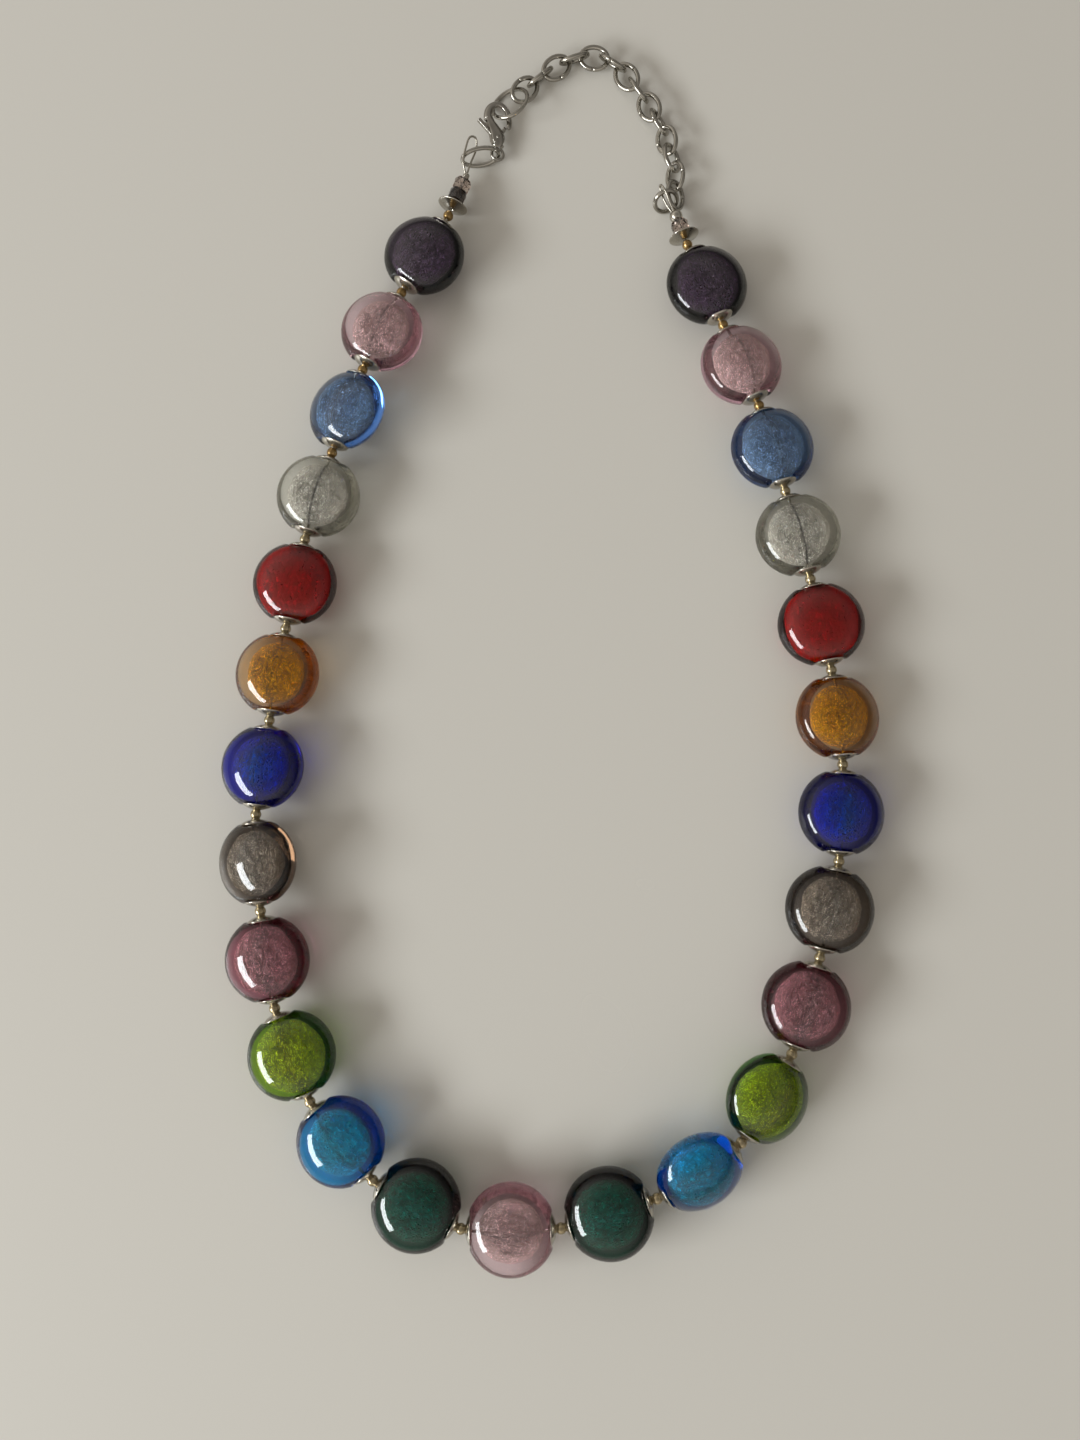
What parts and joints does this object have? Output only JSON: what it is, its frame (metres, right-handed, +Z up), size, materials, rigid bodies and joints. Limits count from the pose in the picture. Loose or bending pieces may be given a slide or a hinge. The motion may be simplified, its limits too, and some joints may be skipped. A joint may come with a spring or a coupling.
{
  "type": "beaded necklace",
  "caption": "Fastened necklace of foil-lined glass lentil beads with metal bead caps, a lobster clasp with a sprung lever and an extension chain, lying as a closed loop.",
  "frame": {"origin": "on the surface the necklace lies on, under the middle of its bounding box", "axes": "+Y from the centre bead of the row towards the extension chain behind the neck, +Z up from the surface, +X to the wearer's side that carries the chain's free end"},
  "size_m": [0.1528, 0.2954, 0.0151],
  "materials": {
    "glass_purple": "moulded and fire-polished",
    "glass_pink": "moulded and fire-polished",
    "glass_sky": "moulded and fire-polished",
    "glass_clear": "moulded and fire-polished",
    "glass_red": "moulded and fire-polished",
    "glass_amber": "moulded and fire-polished",
    "glass_cobalt": "moulded and fire-polished",
    "glass_smoke": "moulded and fire-polished",
    "glass_mauve": "moulded and fire-polished",
    "glass_lime": "moulded and fire-polished",
    "glass_aqua": "moulded and fire-polished",
    "glass_teal": "moulded and fire-polished",
    "foil": "crumpled silver leaf under the glass",
    "silver_findings": "pressed and polished silver plate",
    "gilt_findings": "worn gilt on small balls",
    "steel_chain": "drawn wire, rhodium-grey plate, polished",
    "crystal_smoke": "cut and polished",
    "crystal_pale": "cut and polished"
  },
  "bodies": {
    "necklace": {"bead_01_purple": "glass_purple", "bead_02_pink": "glass_pink", "bead_03_sky": "glass_sky", "bead_04_clear": "glass_clear", "bead_05_red": "glass_red", "bead_06_amber": "glass_amber", "bead_07_cobalt": "glass_cobalt", "bead_08_smoke": "glass_smoke", "bead_09_mauve": "glass_mauve", "bead_10_lime": "glass_lime", "bead_11_aqua": "glass_aqua", "bead_12_teal": "glass_teal", "bead_13_pink": "glass_pink", "bead_14_teal": "glass_teal", "bead_15_aqua": "glass_aqua", "bead_16_lime": "glass_lime", "bead_17_mauve": "glass_mauve", "bead_18_smoke": "glass_smoke", "bead_19_cobalt": "glass_cobalt", "bead_20_amber": "glass_amber", "bead_21_red": "glass_red", "bead_22_clear": "glass_clear", "bead_23_sky": "glass_sky", "bead_24_pink": "glass_pink", "bead_25_purple": "glass_purple", "strand_01": "silver_findings", "strand_02": "silver_findings", "strand_03": "silver_findings", "strand_04": "silver_findings", "strand_05": "silver_findings", "strand_06": "silver_findings", "strand_07": "silver_findings", "strand_08": "silver_findings", "end_strand_left": "silver_findings", "saucer_left": "silver_findings", "crystal_left_1": "crystal_smoke", "crystal_left_2": "crystal_pale", "end_strand_right": "silver_findings", "saucer_right": "silver_findings", "crystal_right": "crystal_pale", "chain_link_01": "steel_chain", "chain_link_02": "steel_chain", "chain_link_03": "steel_chain", "chain_link_04": "steel_chain", "chain_link_05": "steel_chain", "chain_link_06": "steel_chain", "chain_link_07": "steel_chain", "chain_link_08": "steel_chain", "chain_link_09": "steel_chain", "chain_link_10": "steel_chain", "chain_link_11": "steel_chain", "chain_link_12": "steel_chain", "chain_link_13": "steel_chain", "chain_link_14": "steel_chain", "end_ring": "steel_chain", "jump_ring_left": "steel_chain", "jump_ring_right": "steel_chain", "clasp_body": "steel_chain"},
    "lever": {"clasp_lever": "steel_chain"}
  },
  "joints": [
    {"name": "clasp_lever_hinge", "type": "hinge", "parent": "necklace", "child": "lever", "pos_m": [-0.01652, 0.1222, 0.00266], "axis": [0.2934, -0.0232, 0.9557], "range_deg": [0, 22], "stiffness_Nm_per_rad": 0.01}
  ]
}
